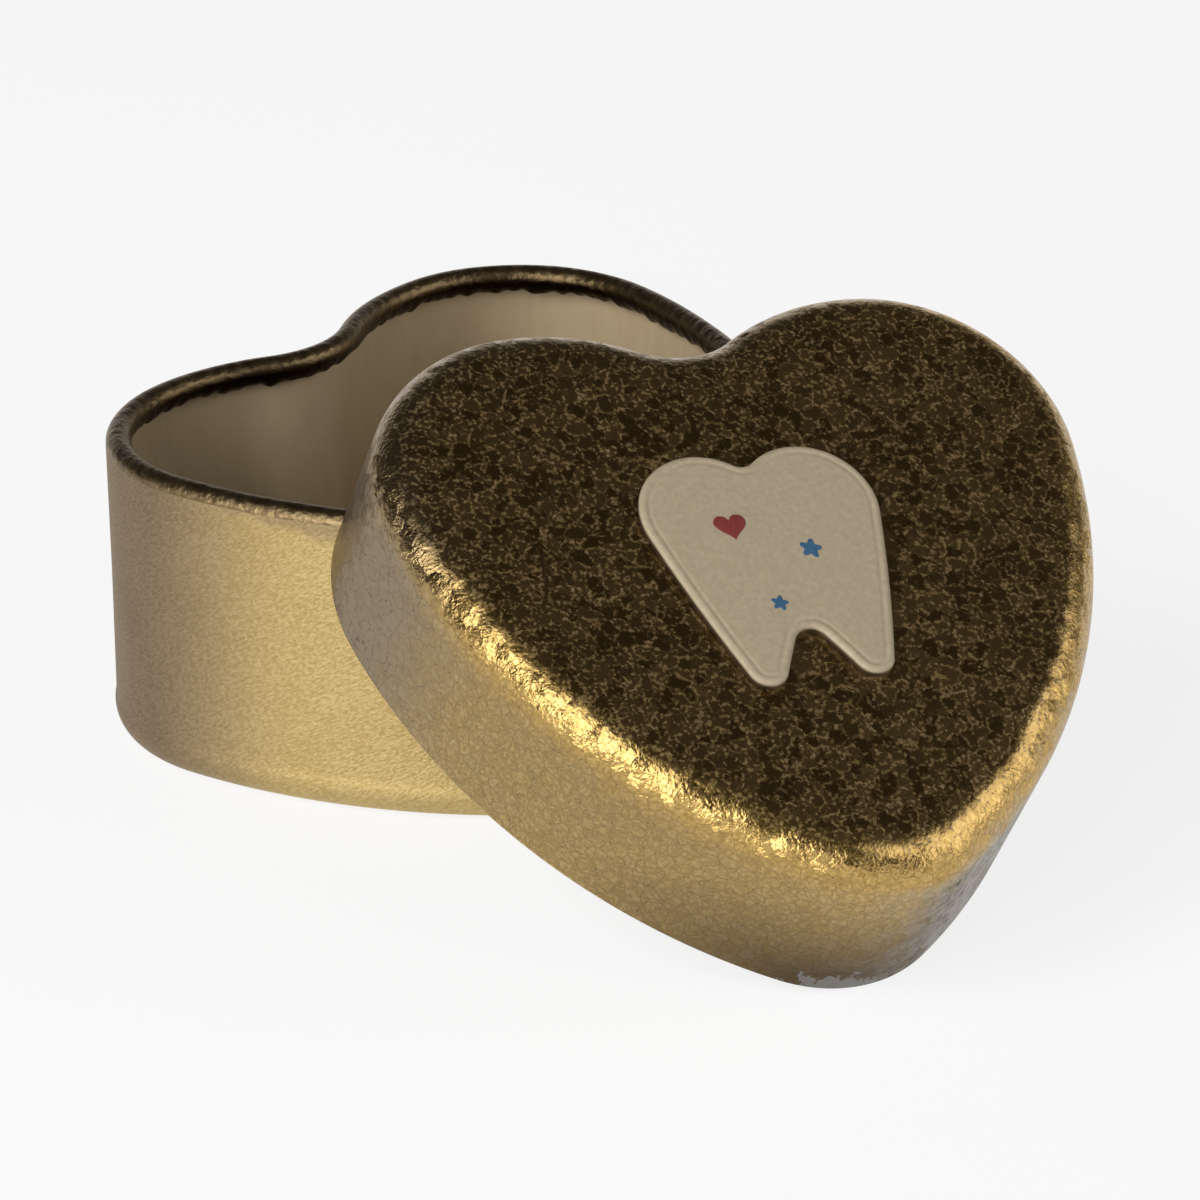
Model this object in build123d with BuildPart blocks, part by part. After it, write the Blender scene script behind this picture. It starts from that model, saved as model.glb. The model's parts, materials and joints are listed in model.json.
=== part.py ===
# Heart-shaped keepsake tin for milk teeth: a drawn base and its lift-off lid. The lid is off and leans,
# its tip on the floor and its open edge over the base's rim. Millimetres, +Z up, the heart's tip towards
# -Y, and the origin in the middle of the base's flat underside.

import os
from math import copysign, cos, radians, sin, sqrt

from build123d import *

# Sheet metal and the coat inside it
sheet = 0.35
coat = 0.15
overrun = 1.0

# Outline of the base seen from above, as tangent arcs
base_half_width = 31.0
lobe_x = 15.8
crown_radius = 20.5
crown_turn = 83.5
cleft_radius = 9.7
side_radius = 52.3
tip_radius = 12.0
tip_drop = 29.2

# Base
base_height = 28.8
base_corner = 2.7
bead_radius = 1.15

# Lid
lid_height = 18.0
lid_corner = 3.7
fit_clearance = 0.3
hem_height = 3.0

# Tooth emblem on the lid
emblem_x = -1.1
emblem_y = 0.9
emblem_turn = -1.5
emblem_rise = 0.9
emblem_bevel = 0.4
cusp_x = 4.6
cusp_y = 5.6
cusp_radius = 6.1
dip_radius = 1.5
cheek_radius = 150.0
root_x = 4.8
root_y = -9.8
root_radius = 1.8
flank_radius = 100.0
notch_y = -8.05
notch_radius = 1.55

# How the lid leans. The turn and the tilt are first guesses, which lean_lid corrects until it rests.
stand_x = -20.5
stand_y = -57.2
lid_spin = -6.0
first_turn = -19.0
first_tilt = 31.0
lean_step = 0.5
lean_rounds = 12
rest_gap = 0.2


def bridge(start, end, radius):
    """Arc of a given radius that joins two arcs tangentially, met in clockwise order."""
    span = (end[0] - start[0]).length
    along = ((radius - start[1]) ** 2 - (radius - end[1]) ** 2 + span**2) / (2 * span)
    across = sqrt((radius - start[1]) ** 2 - along**2)
    line = (end[0] - start[0]) / span
    outwards = Vector(-line.Y, line.X)
    return start[0] + line * along - outwards * copysign(across, radius), radius


def axial(beside, radius):
    """Arc centred on the Y axis, above the arc that it meets tangentially."""
    return Vector(0, beside[0].Y + sqrt((radius - beside[1]) ** 2 - beside[0].X ** 2)), radius


def closed_chain(half, middle):
    """Whole outline from its right half, whose first and last arcs lie on the Y axis, about a middle."""
    left = [(Vector(-centre.X, centre.Y), radius) for centre, radius in half[-2:0:-1]]
    return [(centre - middle, radius) for centre, radius in half + left]


def heart_chain():
    """Heart from its cleft, clockwise, with the box round it centred on the origin."""
    lobe = (Vector(lobe_x, 0), base_half_width - lobe_x)
    inwards = Vector(cos(radians(crown_turn)), sin(radians(crown_turn)))
    crown = (lobe[0] + inwards * (lobe[1] - crown_radius), crown_radius)
    tip = (Vector(0, -tip_drop), tip_radius)
    half = [axial(crown, -cleft_radius), crown, lobe, bridge(lobe, tip, side_radius), tip]
    return closed_chain(half, Vector(0, (crown[0].Y + crown_radius - tip_drop - tip_radius) / 2))


def tooth_chain():
    """Molar from the dip between its cusps, clockwise, round both roots and the notch between them."""
    cusp = (Vector(cusp_x, cusp_y), cusp_radius)
    root = (Vector(root_x, root_y), root_radius)
    notch = (Vector(0, notch_y), -notch_radius)
    cheek = bridge(cusp, root, cheek_radius)
    flank = bridge(root, notch, -flank_radius)
    return closed_chain([axial(cusp, -dip_radius), cusp, cheek, root, flank, notch], Vector())


def outline(chain, grow=0):
    """Draw a chain of tangent arcs. A hollow arc has a negative radius, so growing adds to every one."""
    for before, arc, after in zip(chain[-1:] + chain[:-1], chain, chain[1:] + chain[:1]):
        enter = (arc[0] - before[0]) / (before[1] - arc[1])
        leave = (after[0] - arc[0]) / (arc[1] - after[1])
        middle = (enter + leave).normalized()
        points = [arc[0] + way * (arc[1] + grow) for way in (enter, middle, leave)]
        ThreePointArc([(point.X, point.Y) for point in points])


def pan(plane, grow, floor, rim, corner, mode=Mode.ADD):
    """Heart-shaped block from floor to rim, the edge of its floor rounded, added to the open sub-part."""
    with BuildSketch(plane.offset(floor)) as profile:
        with BuildLine():
            outline(heart, grow)
        make_face()
    block = extrude(profile.sketch, amount=rim - floor, mode=Mode.PRIVATE).solid()
    end = block.faces().sort_by(Axis(plane.origin, plane.z_dir))[0]
    add(block.fillet(corner, end.edges()), mode=mode)


def ring_path(plane, grow, height):
    """Closed heart along which a rolled or folded edge runs."""
    with BuildLine(plane.offset(height)) as path:
        outline(heart, grow)
    return path.wire()


def across(path, plane):
    """Plane across the start of a path, with x away from the heart and y along the plane's normal."""
    return Plane(origin=path @ 0, x_dir=plane.z_dir.cross(path % 0), z_dir=path % 0)


def leaning(turn, tilt):
    """Lid's place: tilted towards -Y and turned, its tip over the stand point, its fold on the floor."""
    lean = Rot(Z=turn) * Rot(X=tilt) * Rot(Z=lid_spin)
    fold = lid_fold.moved(lean)
    tip = fold.edges()[tip_arc] @ 0.5
    floor = fold.bounding_box().min.Z - sheet
    return Pos(stand_x - tip.X, stand_y - tip.Y, -floor) * lean


def rim_gap(fold_side, bead_side):
    """Gap between the lid's fold and the base's bead on one side, negative where the fold is below."""
    distance, on_fold, on_bead = fold_side.distance_to_with_closest_points(bead_side)
    return copysign(distance, on_fold.Z - on_bead.Z) - sheet - bead_radius


def lean_lid():
    """Lean the lid until it rests on both sides of the base's rim, by Newton's steps on turn and tilt."""
    turn, tilt = first_turn, first_tilt
    for _ in range(lean_rounds):
        here, turned, tilted = (
            [rim_gap(fold.moved(leaning(*angles)), bead) for fold, bead in zip(fold_sides, bead_sides)]
            for angles in ((turn, tilt), (turn + lean_step, tilt), (turn, tilt + lean_step))
        )
        by_turn = [(b - a) / lean_step for a, b in zip(here, turned)]
        by_tilt = [(b - a) / lean_step for a, b in zip(here, tilted)]
        miss = [rest_gap - gap for gap in here]
        scale = by_turn[0] * by_tilt[1] - by_turn[1] * by_tilt[0]
        turn += (miss[0] * by_tilt[1] - miss[1] * by_tilt[0]) / scale
        tilt += (by_turn[0] * miss[1] - by_turn[1] * miss[0]) / scale
    return leaning(turn, tilt)


heart = heart_chain()
tooth = tooth_chain()
tip_arc = len(heart) // 2
bare = sheet + coat
base_wall = base_height - bead_radius
lid_grow = fit_clearance + 2 * sheet

# Base: wall and bottom drawn from one sheet
with BuildPart() as base_shell:
    pan(Plane.XY, 0, 0, base_wall, base_corner)
    pan(Plane.XY, -sheet, sheet, base_wall + overrun, base_corner - sheet, Mode.SUBTRACT)

# Base: the wall's mouth rolled inwards, three quarters of the way round
bead_path = ring_path(Plane.XY, -bead_radius, base_wall)
with BuildPart() as base_rim_bead:
    with BuildSketch(across(bead_path, Plane.XY)):
        Circle(bead_radius)
        Circle(bead_radius - sheet, mode=Mode.SUBTRACT)
        Rectangle(bead_radius, bead_radius, align=(Align.MIN, Align.MAX), mode=Mode.SUBTRACT)
    sweep(path=bead_path)

# Base: lacquer over the whole inside, up to the bead
with BuildPart() as base_lining:
    pan(Plane.XY, -sheet, sheet, base_wall, base_corner - sheet)
    pan(Plane.XY, -bare, bare, base_wall + overrun, base_corner - bare, Mode.SUBTRACT)

# Where the lid leans, from the right and left sides of its fold and of the bead under it
lid_fold = ring_path(Plane.XY, lid_grow - sheet, sheet)
fold_sides = [Wire(lid_fold.edges()[1:tip_arc]), Wire(lid_fold.edges()[tip_arc + 1 :])]
bead_sides = [Wire(bead_path.edges()[1:tip_arc]), Wire(bead_path.edges()[tip_arc + 1 :])]
lid_place = lean_lid()
lid_edge = Plane(lid_place)
lid_roof = Plane(lid_edge.offset(lid_height).origin, x_dir=-lid_edge.x_dir, z_dir=-lid_edge.z_dir)

# Lid: top and skirt drawn from one sheet
with BuildPart() as lid_shell:
    pan(lid_roof, lid_grow, 0, lid_height - sheet, lid_corner)
    pan(lid_roof, lid_grow - sheet, sheet, lid_height + overrun, lid_corner - sheet, Mode.SUBTRACT)

# Lid: the skirt's edge folded inwards and pressed flat
fold_path = ring_path(lid_edge, lid_grow - sheet, sheet)
with BuildPart() as lid_rim_hem:
    with BuildSketch(across(fold_path, lid_edge)):
        Circle(sheet)
        Rectangle(2 * sheet, sheet, align=(Align.CENTER, Align.MIN), mode=Mode.SUBTRACT)
        Rectangle(sheet, hem_height - sheet, align=(Align.MAX, Align.MIN))
    sweep(path=fold_path)

# Lid: lacquer over the inside, down to the hem
with BuildPart() as lid_lining:
    pan(lid_roof, lid_grow - sheet, sheet, lid_height - hem_height, lid_corner - sheet)
    pan(lid_roof, lid_grow - bare, bare, lid_height + overrun, lid_corner - bare, Mode.SUBTRACT)

# Lid: raised tooth on the top, a little off its middle and turned a little
emblem_place = lid_place * Pos(emblem_x, emblem_y, lid_height) * Rot(Z=emblem_turn)
with BuildPart() as tooth_emblem:
    with BuildSketch(Plane(emblem_place)):
        with BuildLine():
            outline(tooth)
        make_face()
    extrude(amount=emblem_rise)
    fillet(tooth_emblem.faces().sort_by(Axis(lid_edge.origin, lid_edge.z_dir))[-1].edges(), emblem_bevel)

pieces = {
    "base_shell": base_shell,
    "base_rim_bead": base_rim_bead,
    "base_lining": base_lining,
    "lid_shell": lid_shell,
    "lid_rim_hem": lid_rim_hem,
    "lid_lining": lid_lining,
    "tooth_emblem": tooth_emblem,
}
os.makedirs("parts", exist_ok=True)
for name, piece in pieces.items():
    piece.part.label = name
    export_step(piece.part, f"parts/{name}.step")
print("lid at", lid_edge.origin, "facing", lid_edge.z_dir)
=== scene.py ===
# Heart-shaped keepsake tin for milk teeth: a drawn base, and its lift-off lid leaning on the base's rim
# with a raised tooth on top. Lengths are in millimetres until a mesh is made, which turns them to metres.
# Materials, lamps and the camera are in metres from the start.

import json

import bpy
import numpy as np
from mathutils import Matrix, Vector


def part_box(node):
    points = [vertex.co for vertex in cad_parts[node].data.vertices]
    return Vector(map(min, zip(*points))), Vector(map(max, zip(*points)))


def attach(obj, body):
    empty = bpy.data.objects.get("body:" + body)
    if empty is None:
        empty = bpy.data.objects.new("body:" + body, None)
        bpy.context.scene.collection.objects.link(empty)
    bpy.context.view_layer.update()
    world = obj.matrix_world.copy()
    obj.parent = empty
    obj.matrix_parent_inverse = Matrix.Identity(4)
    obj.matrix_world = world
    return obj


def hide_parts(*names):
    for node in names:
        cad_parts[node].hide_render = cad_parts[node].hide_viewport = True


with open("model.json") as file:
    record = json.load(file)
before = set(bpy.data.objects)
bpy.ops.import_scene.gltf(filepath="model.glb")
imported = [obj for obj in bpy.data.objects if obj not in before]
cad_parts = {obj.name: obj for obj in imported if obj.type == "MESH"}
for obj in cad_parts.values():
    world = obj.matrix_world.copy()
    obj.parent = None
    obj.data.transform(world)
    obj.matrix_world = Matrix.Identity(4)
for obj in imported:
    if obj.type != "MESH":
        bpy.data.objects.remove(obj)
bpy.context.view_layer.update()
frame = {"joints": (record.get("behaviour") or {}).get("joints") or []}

# Camera: left of the heart's tip and a little above, far away with a long lens, as for a catalogue.
view_aim = Vector((0.002525, -0.008645, 0.012))
view_turn = -48.583
view_rise = 25.101
view_distance = 0.5178


def stand(name, data, turn, rise, distance):
    """New object that looks at the aim from a distance. With its turn from -Y towards +X and its rise in
    degrees, it stands at aim + distance * (sin turn cos rise, -cos turn cos rise, sin rise)."""
    turn, rise = np.radians(turn), np.radians(rise)
    way = Vector((np.sin(turn) * np.cos(rise), -np.cos(turn) * np.cos(rise), np.sin(rise)))
    made = bpy.data.objects.new(name, data)
    made.location = view_aim + way * distance
    made.rotation_euler = way.to_track_quat("Z", "Y").to_euler()
    bpy.context.scene.collection.objects.link(made)
    return made


camera = stand("camera", bpy.data.cameras.new("camera"), view_turn, view_rise, view_distance)
camera.data.lens = 174.17
camera.data.sensor_width = 36
camera.data.clip_start = 0.02
bpy.context.scene.camera = camera

# Base, wall and bottom: a cup deep-drawn from 0.35 mm tinplate, lacquered gold outside. The drawing ring
# leaves a soft ridge where the wall turns into the rounded corner, and the thin wall is a little uneven.
sheet = 0.35
coat = 0.15
hair = 0.005
base_half_width = 31.0
lobe_x = 15.8
crown_radius = 20.5
crown_turn = 83.5
cleft_radius = 9.7
side_radius = 52.3
tip_radius = 12.0
tip_drop = 29.2
base_height = 28.8
base_corner = 2.7
bead_radius = 1.15
base_wall = base_height - bead_radius
path_steps = 760


def bridge(start, end, radius):
    """Arc that touches two others, met clockwise. An arc is (centre as x + iy, radius), and a hollow one
    has a negative radius."""
    span = abs(end[0] - start[0])
    along = ((radius - start[1]) ** 2 - (radius - end[1]) ** 2 + span**2) / (2 * span)
    beside = np.sqrt((radius - start[1]) ** 2 - along**2) * np.sign(radius)
    return start[0] + (along - 1j * beside) * (end[0] - start[0]) / span, radius


def axial(beside, radius):
    """Arc centred on the Y axis that touches the arc beside it from above."""
    return 1j * (beside[0].imag + np.sqrt((radius - beside[1]) ** 2 - beside[0].real ** 2)), radius


def walk(half, middle, count):
    """Arc centre, arc radius and outward normal at even steps round an outline, given as the tangent arcs
    of its right half. Neighbours c1, r1 and c2, r2 share the normal (c2 - c1) / (r1 - r2), and along an
    arc the normal turns evenly."""
    chain = half + [(-np.conj(centre), radius) for centre, radius in half[-2:0:-1]]
    centres = np.array([centre for centre, radius in chain]) - middle
    radii = np.array([radius for centre, radius in chain])
    leave = (np.roll(centres, -1) - centres) / (radii - np.roll(radii, -1))
    enter = np.roll(leave, 1)
    turn = np.angle(leave / enter)
    length = np.abs(radii * turn)
    ends = np.cumsum(length)
    along = np.linspace(0, ends[-1], count, endpoint=False)
    arc = np.searchsorted(ends, along, side="right")
    share = (along - ends[arc]) / length[arc] + 1
    return centres[arc], radii[arc], enter[arc] * np.exp(1j * turn[arc] * share)


def loft(path, offset, height, share=1.0):
    """Grid of points, rings by steps: share * (centre + (radius + offset) * normal) at a height, where a
    share of 1 is on the outline and 0 is in the middle."""
    centre, radius, normal = path
    plan = share * (centre + (radius + offset) * normal)
    return np.stack([plan.real, plan.imag, height + 0 * plan.real], axis=-1)


def pan_section(grow, corner, depth, thickness, counts):
    """Section of a pan: from the middle of its closed end, round the corner and up the wall to its mouth,
    then back inside. Columns of outward offset, distance from the closed end, and share of the way out.
    The counts are steps over the flat, round the corner and up the wall, outside and then inside. Steps
    up the wall grow as a power of 1.6 from the corner, and a last short one keeps the mouth crisp."""
    sides = []
    for inset, (flat, bend, wall) in zip((0, thickness), counts):
        turn = np.radians(np.linspace(0, 90, bend))
        out = grow - corner + (corner - inset) * np.sin(turn)
        far = corner - (corner - inset) * np.cos(turn)
        climb = np.append(np.linspace(0, 1, wall + 1)[1:-1] ** 1.6, [0.998, 1])
        offset = np.concatenate([np.full(flat, grow - corner), out, np.full(wall + 1, grow - inset)])
        away = np.concatenate([np.full(flat, inset), far, corner + (depth - corner) * climb])
        reach = np.concatenate([np.linspace(0, 1, flat, endpoint=False) ** 0.8, np.ones(bend + wall + 1)])
        sides.append(np.stack([offset, away, reach]))
    return np.concatenate([sides[0], sides[1][:, ::-1]], axis=1)[:, :, None]


def wander(*waves):
    """Unevenness round the heart, about -1 to 1: sines of whole numbers of waves, out of step."""
    turn = np.linspace(0, 2 * np.pi, path_steps, endpoint=False)
    return sum(np.sin(wave * turn + 2.4 * wave) for wave in waves) / np.sqrt(len(waves))


def solid(name, grid, poles=True, marks=None):
    """Closed smooth piece from a grid of points. With poles the first and last rings are single points,
    and without them the last ring joins the first. Faces are turned so that the volume is positive, and
    each grid of marks becomes an attribute of the mesh for its material to read."""
    index = np.arange(grid.shape[0] * grid.shape[1]).reshape(grid.shape[:2])
    if poles:
        index[[0, -1]] = index[[0, -1], :1]
    else:
        index = np.concatenate([index, index[:1]])
    beyond = np.roll(index, -1, axis=1)
    corners = np.stack([index[:-1], beyond[:-1], beyond[1:], index[1:]], axis=-1).reshape(-1, 4)
    used, corners = np.unique(corners, return_inverse=True)
    corners = corners.reshape(-1, 4)
    points = grid.reshape(-1, 3)[used]
    a, b, c, d = (points[corners[:, i]] for i in range(4))
    if np.sum(a * (np.cross(b, c) + np.cross(c, d))) < 0:
        corners = corners[:, ::-1]
    keep = np.ones(corners.shape, bool)
    keep[:, 1] = corners[:, 0] != corners[:, 1]
    keep[:, 3] = corners[:, 2] != corners[:, 3]
    sides = keep.sum(axis=1)
    mesh = bpy.data.meshes.new(name)
    mesh.vertices.add(len(points))
    mesh.vertices.foreach_set("co", (points * 0.001).ravel())
    mesh.loops.add(int(sides.sum()))
    mesh.loops.foreach_set("vertex_index", corners[keep])
    mesh.polygons.add(len(corners))
    mesh.polygons.foreach_set("loop_start", np.cumsum(sides) - sides)
    mesh.update(calc_edges=True)
    mesh.shade_smooth()
    for mark, values in (marks or {}).items():
        layer = mesh.attributes.new(mark, "FLOAT", "POINT")
        layer.data.foreach_set("value", values.reshape(-1)[used].astype(np.float32))
    piece = bpy.data.objects.new(name, mesh)
    bpy.context.scene.collection.objects.link(piece)
    return piece


def sag(height):
    """How far the base's wall lies inside its outline: a hair at the corner and the mouth, and between them
    a slow wave about 0.12 mm deep. It sets in over 0.9 mm above the corner, as the drawing ridge, and fades
    over the last 12 mm under the mouth."""
    above = np.clip((height - base_corner - 0.15) / 0.9, 0, 1)
    below = np.clip((base_wall - height) / 12, 0, 1)
    depth = 0.12 + 0.05 * wander(3, 5, 8) + 0.01 * wander(17, 26)
    return hair + above * above * (3 - 2 * above) * below * depth


lobe = (lobe_x + 0j, base_half_width - lobe_x)
crown = (lobe[0] + (lobe[1] - crown_radius) * np.exp(1j * np.radians(crown_turn)), crown_radius)
tip = (-1j * tip_drop, tip_radius)
heart_half = [axial(crown, -cleft_radius), crown, lobe, bridge(lobe, tip, side_radius), tip]
heart_middle = 0.5j * (crown[0].imag + crown[1] + tip[0].imag - tip[1])
heart = walk(heart_half, heart_middle, path_steps)
offset, height, share = pan_section(0, base_corner, base_wall, sheet, ((16, 22, 44), (5, 8, 5)))
base_cup = solid("base_cup", loft(heart, offset - sag(height), height, share))


def srgb(code):
    """Linear colour of an sRGB hex code."""
    value = np.array([int(code[i : i + 2], 16) for i in (1, 3, 5)]) / 255
    return (*np.where(value <= 0.04045, value / 12.92, ((value + 0.055) / 1.055) ** 2.4), 1.0)


def connect(tree, node, inputs):
    """Fills inputs of a node, given by name or number: with a value or an sRGB hex code, or with a link
    from an output or from another node's first output in use."""
    for socket, source in inputs.items():
        if isinstance(source, bpy.types.Node):
            source = next(output for output in source.outputs if output.enabled)
        if isinstance(source, bpy.types.NodeSocket):
            tree.links.new(source, node.inputs[socket])
        else:
            node.inputs[socket].default_value = srgb(source) if isinstance(source, str) else source


def add_node(tree, kind, inputs, **settings):
    """Adds a node with its settings and its inputs."""
    made = tree.nodes.new(kind)
    for name, value in settings.items():
        setattr(made, name, value)
    connect(tree, made, inputs)
    return made


def new_finish(name):
    """New material made of nodes, with its node tree and its shader."""
    finish = bpy.data.materials.new(name)
    finish.use_nodes = True
    return finish, finish.node_tree, finish.node_tree.nodes["Principled BSDF"]


# Satin gold lacquer over tinplate: clear tinted lacquer on metal, so it reflects as metal does, softly.
# The sheet's fine leathery grain, 0.2 mm across and 0.6 mm along, slants up the wall, and dents in it
# 0.4 mm across hold darker lacquer. A slight cloudiness is 6 mm across. The tip side is left bright,
# the left lobe is painted browner and darker as painted shade, and the wall is painted darker just under
# the rolled mouth.
gold, tree, shader = new_finish("satin gold lacquer on tinplate")
place = add_node(tree, "ShaderNodeTexCoord", {}).outputs["Object"]
part = add_node(tree, "ShaderNodeSeparateXYZ", {"Vector": place}).outputs
grain_way = Vector((0.143, -0.807, 0.574)).to_track_quat("Z", "Y").to_euler()
slant = add_node(
    tree,
    "ShaderNodeMapping",
    {"Vector": place, "Rotation": grain_way, "Scale": (1, 1, 2.6)},
    vector_type="TEXTURE",
)
grain, dents, cloud = (
    add_node(tree, "ShaderNodeTexNoise", {"Vector": where, "Scale": 1 / size, "Detail": detail})
    for where, size, detail in ((slant, 0.00022, 3.0), (place, 0.0004, 2.0), (place, 0.006, 2.0))
)
rough = add_node(tree, "ShaderNodeMath", {0: grain, 1: 2.0, 2: dents}, operation="MULTIPLY_ADD")
mixed = add_node(tree, "ShaderNodeMath", {0: cloud, 1: 0.5, 2: rough}, operation="MULTIPLY_ADD")
tone = add_node(tree, "ShaderNodeMapRange", {"Value": mixed, "From Min": 1.45, "From Max": 2.05})
bright = add_node(tree, "ShaderNodeMix", {"Factor": tone, "A": "#b59d66", "B": "#c6b07c"}, data_type="RGBA")
brown = add_node(tree, "ShaderNodeMix", {"Factor": tone, "A": "#86745a", "B": "#96836a"}, data_type="RGBA")
# Painted shade: round the left lobe the gold is mixed towards a darker brown.
lobe_side = add_node(tree, "ShaderNodeMath", {0: part["X"], 1: -0.5, 2: part["Y"]}, operation="MULTIPLY_ADD")
lobe_shade_and_darkening = add_node(
    tree,
    "ShaderNodeMapRange",
    {"Value": lobe_side, "From Min": 0.012, "From Max": 0.0305},
    interpolation_type="SMOOTHSTEP",
)
# Just under the rolled mouth, ragged with the cloudiness, the wall is mixed up to 0.6 of the way towards the
# darker brown.
under_bead = add_node(tree, "ShaderNodeMath", {0: cloud, 1: 0.006, 2: part["Z"]}, operation="MULTIPLY_ADD")
darker_under_mouth = add_node(
    tree,
    "ShaderNodeMapRange",
    {"Value": under_bead, "From Min": 0.0292, "From Max": 0.0304, "To Max": 0.6},
)
lobe_shade_and_darkening = add_node(tree, "ShaderNodeMath", {0: lobe_shade_and_darkening, 1: darker_under_mouth}, operation="MAXIMUM")
tint = add_node(tree, "ShaderNodeMix", {"Factor": lobe_shade_and_darkening, "A": bright, "B": brown}, data_type="RGBA")
bump = add_node(tree, "ShaderNodeBump", {"Height": rough, "Distance": 0.00005})
connect(tree, shader, {"Base Color": tint, "Metallic": 1.0, "Roughness": 0.6, "Normal": bump})
base_cup.data.materials.append(gold)
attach(base_cup, "base")
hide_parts("base_shell")

# Base, rolled bead: the mouth of the same sheet curled inwards three quarters of the way round, so that
# no raw edge is left to cut fingers. The roll opens a little past its underside, and its free edge there
# is wavy. A short first and last step keep the edges crisp.
roll_end = 256
opens_at = 190
free_edge = np.radians(roll_end + 5 * wander(7, 17, 29) + 4 * wander(37, 53, 83))
flare = 0.26 + 0.1 * wander(11, 23, 37) + 0.12 * wander(53, 79, 113)
worn = 0.025 * (1 + wander(4, 9, 15))
curl_share = np.concatenate([[0, 0.004], np.linspace(0, 1, 36)[1:-1], [0.996, 1]])
curl_turn = curl_share[:, None] * free_edge
opened = np.clip((curl_turn - np.radians(opens_at)) / np.radians(roll_end - opens_at), 0, 1) ** 2 * flare
outside = bead_radius - worn * np.sin(curl_turn).clip(0) + opened
inside = (bead_radius - sheet + opened)[::-1]
curl_out = np.concatenate([outside * np.cos(curl_turn), inside * np.cos(curl_turn[::-1])])
curl_up = np.concatenate([outside * np.sin(curl_turn), inside * np.sin(curl_turn[::-1])])
curl_out -= bead_radius + hair
curl = np.concatenate([curl_turn, curl_turn[::-1]])
base_bead = solid("base_bead", loft(heart, curl_out, base_wall + curl_up), poles=False, marks={"curl": curl})

# Dark bronze lacquer: the gold lacquer browned and crazed by the rolling tool, in a grain 0.9 mm across.
# The browning sets in raggedly where the curl starts, and the underside is painted nearly black as
# painted shade.
bronze, tree, shader = new_finish("dark bronze lacquer on the rolled edge")
place = add_node(tree, "ShaderNodeTexCoord", {}).outputs["Object"]
grain = add_node(tree, "ShaderNodeTexNoise", {"Vector": place, "Scale": 1 / 0.0009, "Detail": 4.0})
turned = add_node(tree, "ShaderNodeAttribute", {}, attribute_name="curl").outputs["Fac"]
ragged = add_node(tree, "ShaderNodeMath", {0: grain, 1: 0.9, 2: turned}, operation="MULTIPLY_ADD")
browned, shaded_underside, tone = (
    add_node(tree, "ShaderNodeMapRange", {"Value": pattern, "From Min": low, "From Max": high})
    for pattern, low, high in ((ragged, 0.0, 0.45), (ragged, 3.0, 3.7), (grain, 0.35, 0.65))
)
brown = add_node(tree, "ShaderNodeMix", {"Factor": tone, "A": "#68563d", "B": "#857353"}, data_type="RGBA")
tint = add_node(tree, "ShaderNodeMix", {"Factor": browned, "A": "#b7995f", "B": brown}, data_type="RGBA")
# Painted shade: the curl's underside goes nearly black.
tint = add_node(tree, "ShaderNodeMix", {"Factor": shaded_underside, "A": tint, "B": "#241a0f"}, data_type="RGBA")
bump = add_node(tree, "ShaderNodeBump", {"Height": grain, "Distance": 0.00018})
connect(tree, shader, {"Base Color": tint, "Metallic": 1.0, "Roughness": 0.38, "Normal": bump})
base_bead.data.materials.append(bronze)
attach(base_bead, "base")
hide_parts("base_rim_bead")

# Base, inside: the sheet's other face, coated with matt cream lacquer before it is drawn. Drawing
# stretches the coat into faint upright streaks on the wall.
offset, height, share = pan_section(
    -sheet, base_corner - sheet, base_wall - sheet, coat, ((6, 8, 6), (16, 18, 40))
)
height = height + sheet
base_coat = solid("base_inside_coat", loft(heart, offset - sag(height), height, share))


def coating(name, dark, light, vector_scale, speck, roughness):
    """Coat of paint in two near tones, mixed by a noise with specks of a size, drawn out where its vector
    scale is under 1, and barely raised where it is light."""
    paint, tree, shader = new_finish(name)
    place = add_node(tree, "ShaderNodeTexCoord", {}).outputs["Object"]
    drawn = add_node(tree, "ShaderNodeMapping", {"Vector": place, "Scale": vector_scale})
    noise = add_node(tree, "ShaderNodeTexNoise", {"Vector": drawn, "Scale": 1 / speck, "Detail": 3.0})
    tone = add_node(tree, "ShaderNodeMapRange", {"Value": noise, "From Min": 0.3, "From Max": 0.7})
    tint = add_node(tree, "ShaderNodeMix", {"Factor": tone, "A": dark, "B": light}, data_type="RGBA")
    bump = add_node(tree, "ShaderNodeBump", {"Height": noise, "Distance": speck * 0.05})
    connect(tree, shader, {"Base Color": tint, "Roughness": roughness, "Normal": bump})
    return paint


cream = coating("matt cream lacquer", "#ab987a", "#af9d7e", (1, 1, 0.3), 0.0012, 0.38)
base_coat.data.materials.append(cream)
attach(base_coat, "base")
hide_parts("base_lining")

# Lid, top and skirt: a shallow cap drawn from the same sheet, with a large soft shoulder and a top that
# swells a little. It leans as the slide's direction says, and its box places it over the CAD lid.
lid_height = 18.0
lid_corner = 3.7
fit_clearance = 0.3
lid_grow = fit_clearance + 2 * sheet
lid_spin = np.radians(-6.0)
lean = Vector(frame["joints"][0]["axis"])
lid_turn = (
    Matrix.Rotation(np.arctan2(lean.x, -lean.y), 3, "Z")
    @ Matrix.Rotation(np.arccos(lean.z), 3, "X")
    @ Matrix.Rotation(lid_spin, 3, "Z")
)
offset, height, share = pan_section(
    lid_grow, lid_corner, lid_height - sheet, sheet, ((34, 30, 34), (5, 8, 4))
)
height = lid_height - height
plain_cap = loft(heart, offset, height, share) @ np.array(lid_turn).T
shown_box = np.array(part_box("lid_shell")) * 1000
lid_origin = (shown_box.sum(axis=0) - plain_cap.min(axis=(0, 1)) - plain_cap.max(axis=(0, 1))) / 2


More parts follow.
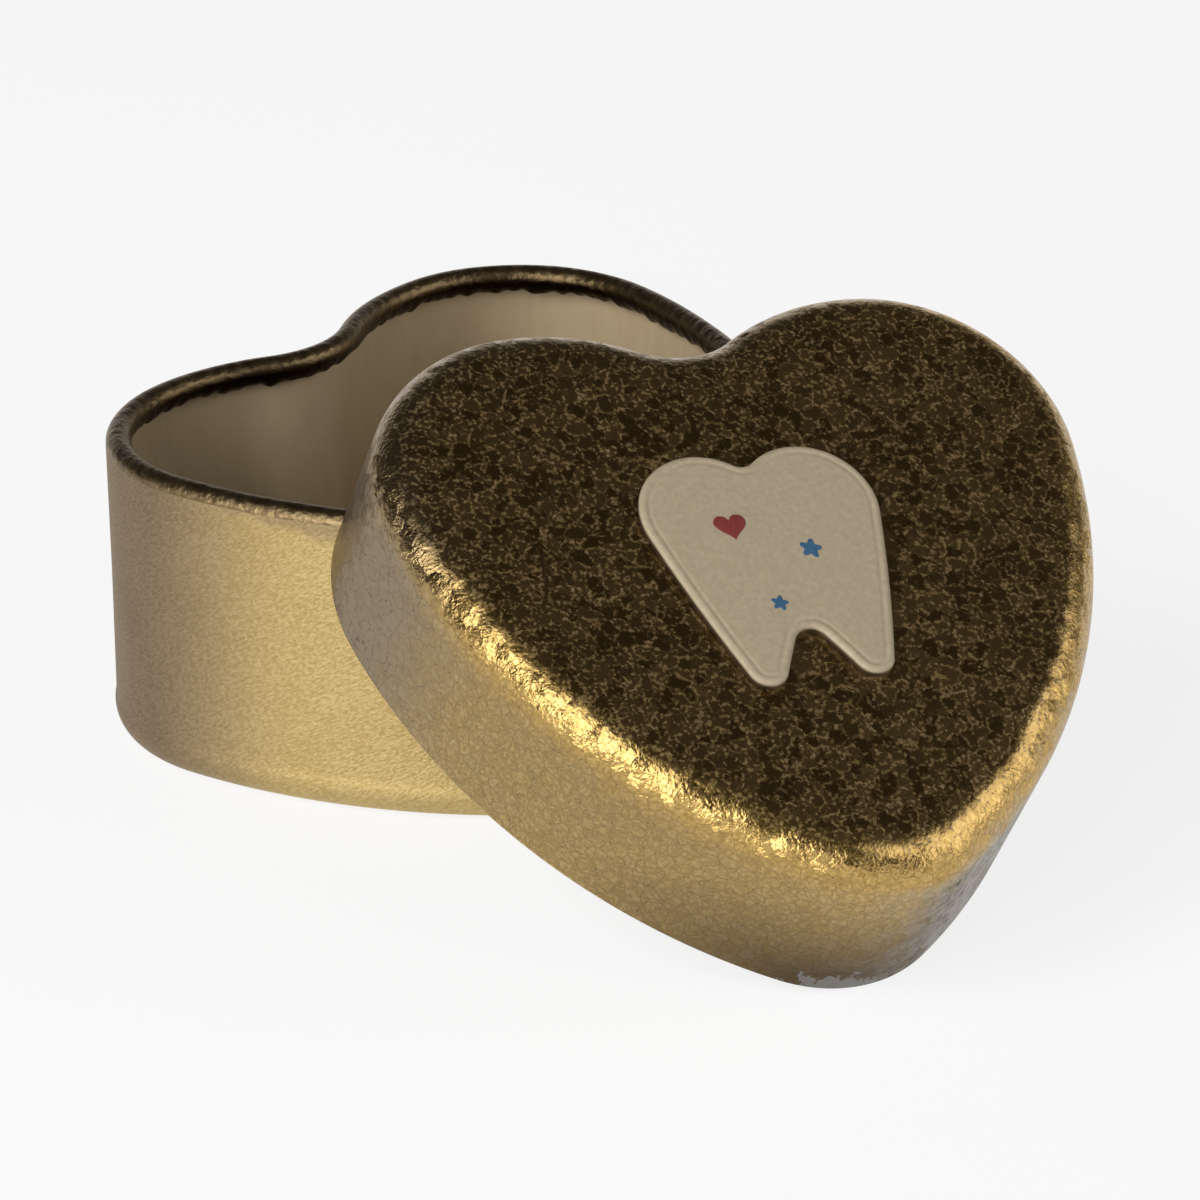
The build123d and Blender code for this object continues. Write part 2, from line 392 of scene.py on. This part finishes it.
def on_lid(grid):
    """Points given in the lid's own place, open edge at height 0, as the lid leans."""
    return grid @ np.array(lid_turn).T + lid_origin


def swollen(height, share):
    """Heights on the lid, where the upper half lies lower by 0.16 mm times the sixth power of the share of
    the way out. This leaves the top highest in the middle."""
    return height - 0.16 * share**6 * (height > lid_height / 2)


lid_cap = solid("lid_cap", on_lid(loft(heart, offset, swollen(height, share), share)))

# Crackled gold lacquer: a brittle metallic coat over gold, crazed into shards 1.2 mm across, crumpled in
# a grain of 0.35 mm. Each shard lies at its own slight angle and mirrors the room. They lie flattest on
# the top, which is painted a little browner and darker as painted shade, and their edges have curled and
# lost their shine, more there than on the skirt. In patches they are split finer. The shoulder is painted
# a brighter yellow gold as a painted highlight, less so round the left lobe. The skirt is painted greyer
# brown round the left lobe as painted shade, and silvery on the right of the tip as a painted reflection.
# Near the tip it is darker brown, partly from wear and partly as painted shade, and there its lower edge
# is chipped down to the bare steel.
crackled, tree, shader = new_finish("crackled gold lacquer on tinplate")
place = add_node(tree, "ShaderNodeTexCoord", {}).outputs["Object"]
lid_place = {"Vector": place, "Location": lid_origin * 0.001, "Rotation": lid_turn.to_euler()}
local = add_node(tree, "ShaderNodeMapping", lid_place, vector_type="TEXTURE")
part = add_node(tree, "ShaderNodeSeparateXYZ", {"Vector": local}).outputs
shard_size = 0.0012
split_size = 0.00045
shake, patch, crumple = (
    add_node(tree, "ShaderNodeTexNoise", {"Vector": local, "Scale": 1 / size, "Detail": 3.0})
    for size in (0.0006, 0.0014, 0.00035)
)
bent = add_node(
    tree,
    "ShaderNodeVectorMath",
    {0: shake.outputs["Color"], 1: (0.0007, 0.0007, 0.0007), 2: local},
    operation="MULTIPLY_ADD",
)
shards = add_node(tree, "ShaderNodeTexVoronoi", {"Vector": bent, "Scale": 1 / shard_size}).outputs
seams, splits = (
    add_node(tree, "ShaderNodeTexVoronoi", {"Vector": bent, "Scale": 1 / size}, feature="DISTANCE_TO_EDGE")
    for size in (shard_size, split_size)
)

# Where on the lid: heights of the very top, of the top with its bend, and of the shoulder, then the left
# lobe's side, the right of the tip, and the distance from the chip in chip sizes.
top, flat, shoulder = (
    add_node(tree, "ShaderNodeMapRange", {"Value": part["Z"], "From Min": low, "From Max": high})
    for low, high in ((0.0175, 0.0179), (0.0166, 0.0177), (0.0125, 0.0155))
)
lobe_side = add_node(tree, "ShaderNodeMath", {0: part["X"], 1: -0.5, 2: part["Y"]}, operation="MULTIPLY_ADD")
# Painted shade: round the left lobe the skirt is mixed towards a greyer brown.
lobe_shade_and_darkening = add_node(
    tree,
    "ShaderNodeMapRange",
    {"Value": lobe_side, "From Min": 0.01, "From Max": 0.026},
    interpolation_type="SMOOTHSTEP",
)
right = add_node(tree, "ShaderNodeMapRange", {"Value": part["X"], "From Min": 0.001, "From Max": 0.006})
near_tip = add_node(
    tree,
    "ShaderNodeMapRange",
    {"Value": part["Y"], "From Min": -0.01, "From Max": -0.002, "To Min": 1.0, "To Max": 0.0},
)
# Painted reflection: the right of the tip is mixed towards silvery streaks.
right_of_tip = add_node(tree, "ShaderNodeMath", {0: right, 1: near_tip}, operation="MULTIPLY")
chip_middle = np.array([-0.0024, -0.029, 0.0002])
chip_size = np.array([0.0045, 0.006, 0.0024])
from_chip = add_node(
    tree,
    "ShaderNodeVectorMath",
    {0: local, 1: 1 / chip_size, 2: -chip_middle / chip_size},
    operation="MULTIPLY_ADD",
)
near_chip = add_node(tree, "ShaderNodeVectorMath", {0: from_chip}, operation="LENGTH")

# Curled edges of the shards, wider on the top, and of the finer splits. Here and there they lie flat.
width = add_node(tree, "ShaderNodeMapRange", {"Value": flat, "To Min": 0.1, "To Max": 0.22})
rim, split = (
    add_node(
        tree,
        "ShaderNodeMapRange",
        {"Value": edge, "From Max": wide, "To Min": 1.0, "To Max": 0.0},
        interpolation_type="SMOOTHSTEP",
    )
    for edge, wide in ((seams, width), (splits, 0.22))
)
sparse = add_node(tree, "ShaderNodeMath", {0: flat, 1: -0.05, 2: crumple}, operation="MULTIPLY_ADD")
crazed, whole, tone, streak, shade, patchy = (
    add_node(tree, "ShaderNodeMapRange", {"Value": pattern, "From Min": low, "From Max": high})
    for pattern, low, high in (
        (patch, 0.55, 0.75),
        (sparse, 0.44, 0.64),
        (crumple, 0.3, 0.7),
        (shake, 0.42, 0.58),
        (shards["Color"], 0.3, 0.7),
        (patch, 0.4, 0.64),
    )
)
upper = add_node(tree, "ShaderNodeMapRange", {"Value": flat, "To Min": 0.6, "To Max": 0.9})
split = add_node(tree, "ShaderNodeMath", {0: split, 1: crazed}, operation="MULTIPLY")
curled = add_node(tree, "ShaderNodeMath", {0: rim, 1: split}, operation="MAXIMUM")
curled = add_node(tree, "ShaderNodeMath", {0: curled, 1: whole}, operation="MULTIPLY")
curled = add_node(tree, "ShaderNodeMath", {0: curled, 1: upper}, operation="MULTIPLY")

# Colours, from the skirt's gold outwards: each covers what is under it by its share.
patchy = add_node(tree, "ShaderNodeMath", {0: patchy, 1: flat}, operation="MULTIPLY")
tint, silvery, yellow, brown, dull = (
    add_node(tree, "ShaderNodeMix", {"Factor": pattern, "A": dark, "B": light}, data_type="RGBA")
    for pattern, dark, light in (
        (tone, "#93784b", "#bca26c"),
        (streak, "#463a27", "#8e826a"),
        (tone, "#a3844a", "#d2b170"),
        (shade, "#8b7145", "#ba9b66"),
        (patchy, "#3a2c17", "#675a46"),
    )
)
# Painted highlight: the shoulder is mixed towards a brighter yellow gold, less round the left lobe.
shoulder_highlight = add_node(tree, "ShaderNodeMapRange", {"Value": lobe_shade_and_darkening, "To Min": 1.0, "To Max": 0.3})
shoulder_highlight = add_node(tree, "ShaderNodeMath", {0: shoulder_highlight, 1: shoulder}, operation="MULTIPLY")
# Near the chip the skirt is mixed towards a darker brown: partly wear, partly painted shade.
worn = add_node(
    tree,
    "ShaderNodeMapRange",
    {"Value": near_chip, "From Min": 1.0, "From Max": 5.0, "To Min": 1.0, "To Max": 0.0},
)
chip = add_node(tree, "ShaderNodeMath", {0: patch, 1: 1.6, 2: crumple}, operation="MULTIPLY_ADD")
chip = add_node(tree, "ShaderNodeMath", {0: chip, 1: near_chip}, operation="SUBTRACT")
chip = add_node(tree, "ShaderNodeMapRange", {"Value": chip, "From Min": 0.5, "From Max": 0.56})
# Painted light among these covers: the top's browner gold and the left lobe's greyer brown are painted
# shade, the silvery right of the tip is a painted reflection, and the yellow shoulder is a painted
# highlight.
for cover, colour in (
    (lobe_shade_and_darkening, "#8d7c63"),
    (right_of_tip, silvery),
    (shoulder_highlight, yellow),
    (top, brown),
    (worn, "#56462f"),
    (curled, dull),
    (chip, "#77736e"),
):
    tint = add_node(tree, "ShaderNodeMix", {"Factor": cover, "A": tint, "B": colour}, data_type="RGBA")

# Relief: each shard tilts about its middle, and the crumpling and the curled edges stand on it. It is
# strongest on the shoulder and on the right of the tip, and weakest on the top.
shard_tilt = 0.33
crumple_depth = 0.00009
curl_depth = 0.00001
tilt = add_node(tree, "ShaderNodeVectorMath", {0: shards["Color"], 1: (0.5, 0.5, 0.5)}, operation="SUBTRACT")
from_middle = add_node(tree, "ShaderNodeVectorMath", {0: bent, 1: shards["Position"]}, operation="SUBTRACT")
facet = add_node(tree, "ShaderNodeVectorMath", {0: tilt, 1: from_middle}, operation="DOT_PRODUCT")
slab = add_node(tree, "ShaderNodeMath", {0: facet, 1: shard_tilt}, operation="MULTIPLY")
raised = add_node(tree, "ShaderNodeMath", {0: crumple, 1: crumple_depth, 2: slab}, operation="MULTIPLY_ADD")
rugged = add_node(tree, "ShaderNodeMath", {0: shoulder, 1: right_of_tip}, operation="MAXIMUM")
lively = add_node(tree, "ShaderNodeMapRange", {"Value": rugged, "To Min": 0.45, "To Max": 1.0})
calm = add_node(tree, "ShaderNodeMapRange", {"Value": flat, "To Min": 1.0, "To Max": 0.27})
raised = add_node(tree, "ShaderNodeMath", {0: raised, 1: lively}, operation="MULTIPLY")
raised = add_node(tree, "ShaderNodeMath", {0: raised, 1: calm}, operation="MULTIPLY")
raised = add_node(tree, "ShaderNodeMath", {0: curled, 1: curl_depth, 2: raised}, operation="MULTIPLY_ADD")
bump = add_node(tree, "ShaderNodeBump", {"Height": raised, "Distance": 1.0})
gloss = add_node(
    tree,
    "ShaderNodeMapRange",
    {"Value": part["Z"], "From Min": 0.0135, "From Max": 0.0165, "To Min": 0.34, "To Max": 0.24},
)
dulled = add_node(tree, "ShaderNodeMath", {0: curled, 1: flat}, operation="MULTIPLY")
shine = add_node(tree, "ShaderNodeMapRange", {"Value": dulled, "To Min": 1.0, "To Max": 0.15})
connect(tree, shader, {"Base Color": tint, "Metallic": shine, "Roughness": gloss, "Normal": bump})
lid_cap.data.materials.append(crackled)
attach(lid_cap, "lid")
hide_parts("lid_shell")

# Lid, hem: the skirt's open edge, the same lacquered sheet, folded inwards and pressed flat against the
# skirt, 3 mm high, so that the cut edge is out of the way. Its upper edge is a little wavy.
hem_height = 3.0
fold_turn = np.radians(np.linspace(0, 180, 16))[:, None]
hem_top = hem_height - 0.08 * (1 + wander(9, 22, 41))
leg = np.linspace(0.02, 1, 6)[:, None]
hem_out = np.concatenate([
    -sheet + sheet * np.cos(fold_turn),
    np.full_like(leg[1:], -2 * sheet),
    np.full_like(leg, -sheet),
])
hem_up = np.concatenate([
    (sheet - sheet * np.sin(fold_turn)) * np.ones(path_steps),
    sheet + leg[1:] * (hem_top - sheet),
    sheet + leg[::-1] * (hem_top - sheet),
])
lid_hem = solid("lid_hem", on_lid(loft(heart, lid_grow + hem_out, hem_up)), poles=False)
lid_hem.data.materials.append(crackled)
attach(lid_hem, "lid")
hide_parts("lid_rim_hem")

# Lid, inside: the sheet's other face, coated with the same cream lacquer as in the base before it was
# drawn. It shows from the top down to the hem, which covers the rest.
offset, height, share = pan_section(
    lid_grow - sheet, lid_corner - sheet, lid_height - hem_height - sheet, coat, ((6, 8, 6), (14, 18, 24))
)
height = lid_height - sheet - height
lid_coat = solid("lid_inside_coat", on_lid(loft(heart, offset, swollen(height, share), share)))
lid_coat.data.materials.append(cream)
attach(lid_coat, "lid")
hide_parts("lid_lining")

# Tooth on the lid: a molar stamped from thin plate with a soft edge and a shallow line inside it, coated
# with satin cream enamel and fixed on the lid's top, a little off its middle. Its foot is painted dark,
# as painted shade where it meets the lid.
tooth_place = np.array([-1.1, 0.9, 0.0])
tooth_turn = np.exp(1j * np.radians(-1.5))
tooth_steps = 420
dip_radius = 1.5
cheek_radius = 150.0
flank_radius = 100.0
edge_width = 0.45
edge_foot = 0.45
edge_rise = 0.4
line_start = 0.1
line_end = 0.6
line_depth = 0.05
face_inset = 1.1
face_height = 0.85
face_swell = 0.05
foot_shade_height = 0.62
cusp = (4.6 + 5.6j, 6.1)
root = (4.8 - 9.8j, 1.8)
notch = (-8.05j, -1.55)
cheek = bridge(cusp, root, cheek_radius)
flank = bridge(root, notch, -flank_radius)
tooth_half = [axial(cusp, -dip_radius), cusp, cheek, root, flank, notch]
centre, radius, normal = walk(tooth_half, 0, tooth_steps)
tooth = (centre * tooth_turn, radius, normal * tooth_turn)
soft = np.radians(np.linspace(0, 90, 10))
line = edge_width + np.linspace(line_start, line_end, 9)
dent = line_depth * np.sin(np.linspace(0, np.pi, 9))
swell = face_swell * np.linspace(0, 1, 24)
section = np.concatenate([
    np.stack([np.zeros(8), np.zeros(8), np.linspace(0, 1, 8)]),
    np.stack([np.zeros(4), np.linspace(0.1, 0.4, 4), np.ones(4)]),
    np.stack([edge_width * (np.cos(soft) - 1), edge_foot + edge_rise * np.sin(soft), np.ones(10)]),
    np.stack([-line, face_height - dent, np.ones(9)]),
    np.stack([np.full(24, -face_inset), face_height + swell, np.linspace(0.99, 0, 24)]),
], axis=1)[:, :, None]
plate = tooth_place + loft(tooth, section[0], lid_height + section[1], section[2])
# Painted shade: the plate's side goes dark at its foot, fading out 0.62 mm above the lid.
foot = np.clip((lid_height + foot_shade_height - plate[:, :, 2]) / 0.25, 0, 1)
lid_tooth = solid("tooth", on_lid(plate), marks={"foot": foot})
enamel = coating("satin cream enamel", "#9e9077", "#a99c83", (1, 1, 1), 0.0005, 0.45)
tree = enamel.node_tree
shader = tree.nodes["Principled BSDF"]
plain_enamel = shader.inputs["Base Color"].links[0].from_socket
# The painted shade at the foot is laid over the enamel's tint.
foot_shade = add_node(tree, "ShaderNodeAttribute", {}, attribute_name="foot").outputs["Fac"]
tint = add_node(tree, "ShaderNodeMix", {"Factor": foot_shade, "A": plain_enamel, "B": "#2c2115"}, data_type="RGBA")
connect(tree, shader, {"Base Color": tint})
lid_tooth.data.materials.append(enamel)
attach(lid_tooth, "lid")
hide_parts("tooth_emblem")

# Painted motifs on the tooth: a red heart and two small blue stars, each a single thick daub of enamel
# that stands about 0.06 mm proud of the plate. The heart's outline is sin(t)^3 across and a sum of
# cosines up, and a star's radius is 1 plus 0.26 times the cosine of five turns.
round_daub = np.exp(2j * np.pi * np.arange(90) / 90)
turn = np.angle(round_daub)
starry = round_daub * (1 + 0.26 * np.cos(5 * turn))
heart_up = (13 * np.cos(turn) - 5 * np.cos(2 * turn) - 2 * np.cos(3 * turn) - np.cos(4 * turn)) / 16
hearty = np.sin(turn) ** 3 + 1j * heart_up
red = coating("red enamel paint", "#6f2f2c", "#7d3833", (1, 1, 1), 0.0003, 0.4)
blue = coating("blue enamel paint", "#30536f", "#3c617e", (1, 1, 1), 0.0003, 0.4)
daub_foot = 0.87
daub_share = np.array([0, 1, 1, 0.94, 0.8, 0.5, 0.2, 0])[:, None]
daub_height = np.array([0, 0, 0.025, 0.045, 0.055, 0.06, 0.06, 0.06])[:, None]
for name, outline, middle, size, paint in (
    ("painted_heart", hearty, -3.3 + 4.2j, 1.45, red),
    ("painted_star_large", starry, 2.9 + 1.1j, 0.8, blue),
    ("painted_star_small", starry, -1.7 - 3.9j, 0.62, blue),
):
    plan = (middle + size * daub_share * outline) * tooth_turn
    raised = lid_height + daub_foot + daub_height + 0 * plan.real
    daub = solid(name, on_lid(tooth_place + np.stack([plan.real, plan.imag, raised], axis=-1)))
    daub.data.materials.append(paint)
    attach(daub, "lid")

# Floor: a wide sheet of white paper. Seen directly or in the metal it is part light, so that it reads
# white and still keeps a soft shadow.
floor_width = 6.0
floor_drop = 0.00003
glow_share = 0.82
bpy.ops.mesh.primitive_plane_add(size=floor_width, location=(0, 0, -floor_drop))
floor = bpy.context.object
floor.name = "floor"
paper, tree, shader = new_finish("white paper")
path = add_node(tree, "ShaderNodeLightPath", {}).outputs
seen = path["Is Camera Ray"]
for ray in ("Is Glossy Ray", "Is Transmission Ray"):
    seen = add_node(tree, "ShaderNodeMath", {0: seen, 1: path[ray]}, operation="MAXIMUM")
lit = add_node(tree, "ShaderNodeMath", {0: seen, 1: glow_share}, operation="MULTIPLY")
glow = add_node(tree, "ShaderNodeEmission", {"Color": (1, 1, 1, 1), "Strength": 1.0})
connect(tree, shader, {"Base Color": "#f2f2f2", "Roughness": 0.9})
blend = add_node(tree, "ShaderNodeMixShader", {0: lit, 1: shader, 2: glow})
connect(tree, tree.nodes["Material Output"], {"Surface": blend})
floor.data.materials.append(paper)

# Studio: a dim room with a lighter horizon, and soft lamps placed by turn, height and distance. The fill
# lamp is polarised, so no metal mirrors it.
lamp_distance = 0.9
world = bpy.context.scene.world or bpy.data.worlds.new("studio")
bpy.context.scene.world = world
world.use_nodes = True
tree = world.node_tree
direction = add_node(tree, "ShaderNodeTexCoord", {}).outputs["Generated"]
up = add_node(tree, "ShaderNodeSeparateXYZ", {"Vector": direction}).outputs["Z"]
level = add_node(
    tree,
    "ShaderNodeMapRange",
    {"Value": up, "From Min": 0.0, "From Max": 0.3, "To Min": 0.5, "To Max": 0.05},
    interpolation_type="SMOOTHSTEP",
)
connect(tree, tree.nodes["Background"], {"Strength": level, "Color": (1.0, 0.93, 0.85, 1.0)})
for name, turn, rise, wide, tall, power, mirrored in (
    ("left_softbox", -80.0, 25.0, 0.64, 0.95, 2.3, True),
    ("key_softbox", -77.0, 20.0, 0.56, 0.66, 3.4, True),
    ("low_strip", -82.0, 5.0, 0.72, 0.2, 1.1, True),
    ("right_softbox", 28.0, 24.0, 0.9, 0.6, 3.1, True),
    ("back_softbox", 131.0, 12.0, 1.4, 0.4, 0.9, True),
    ("fill_lamp", -105.0, 40.0, 0.4, 0.4, 4.2, False),
):
    lamp = stand(name, bpy.data.lights.new(name, "AREA"), turn, rise, lamp_distance)
    lamp.data.shape = "RECTANGLE"
    lamp.data.size = wide
    lamp.data.size_y = tall
    lamp.data.energy = power
    lamp.visible_camera = False
    lamp.visible_glossy = mirrored

bpy.context.scene.view_settings.view_transform = "Standard"
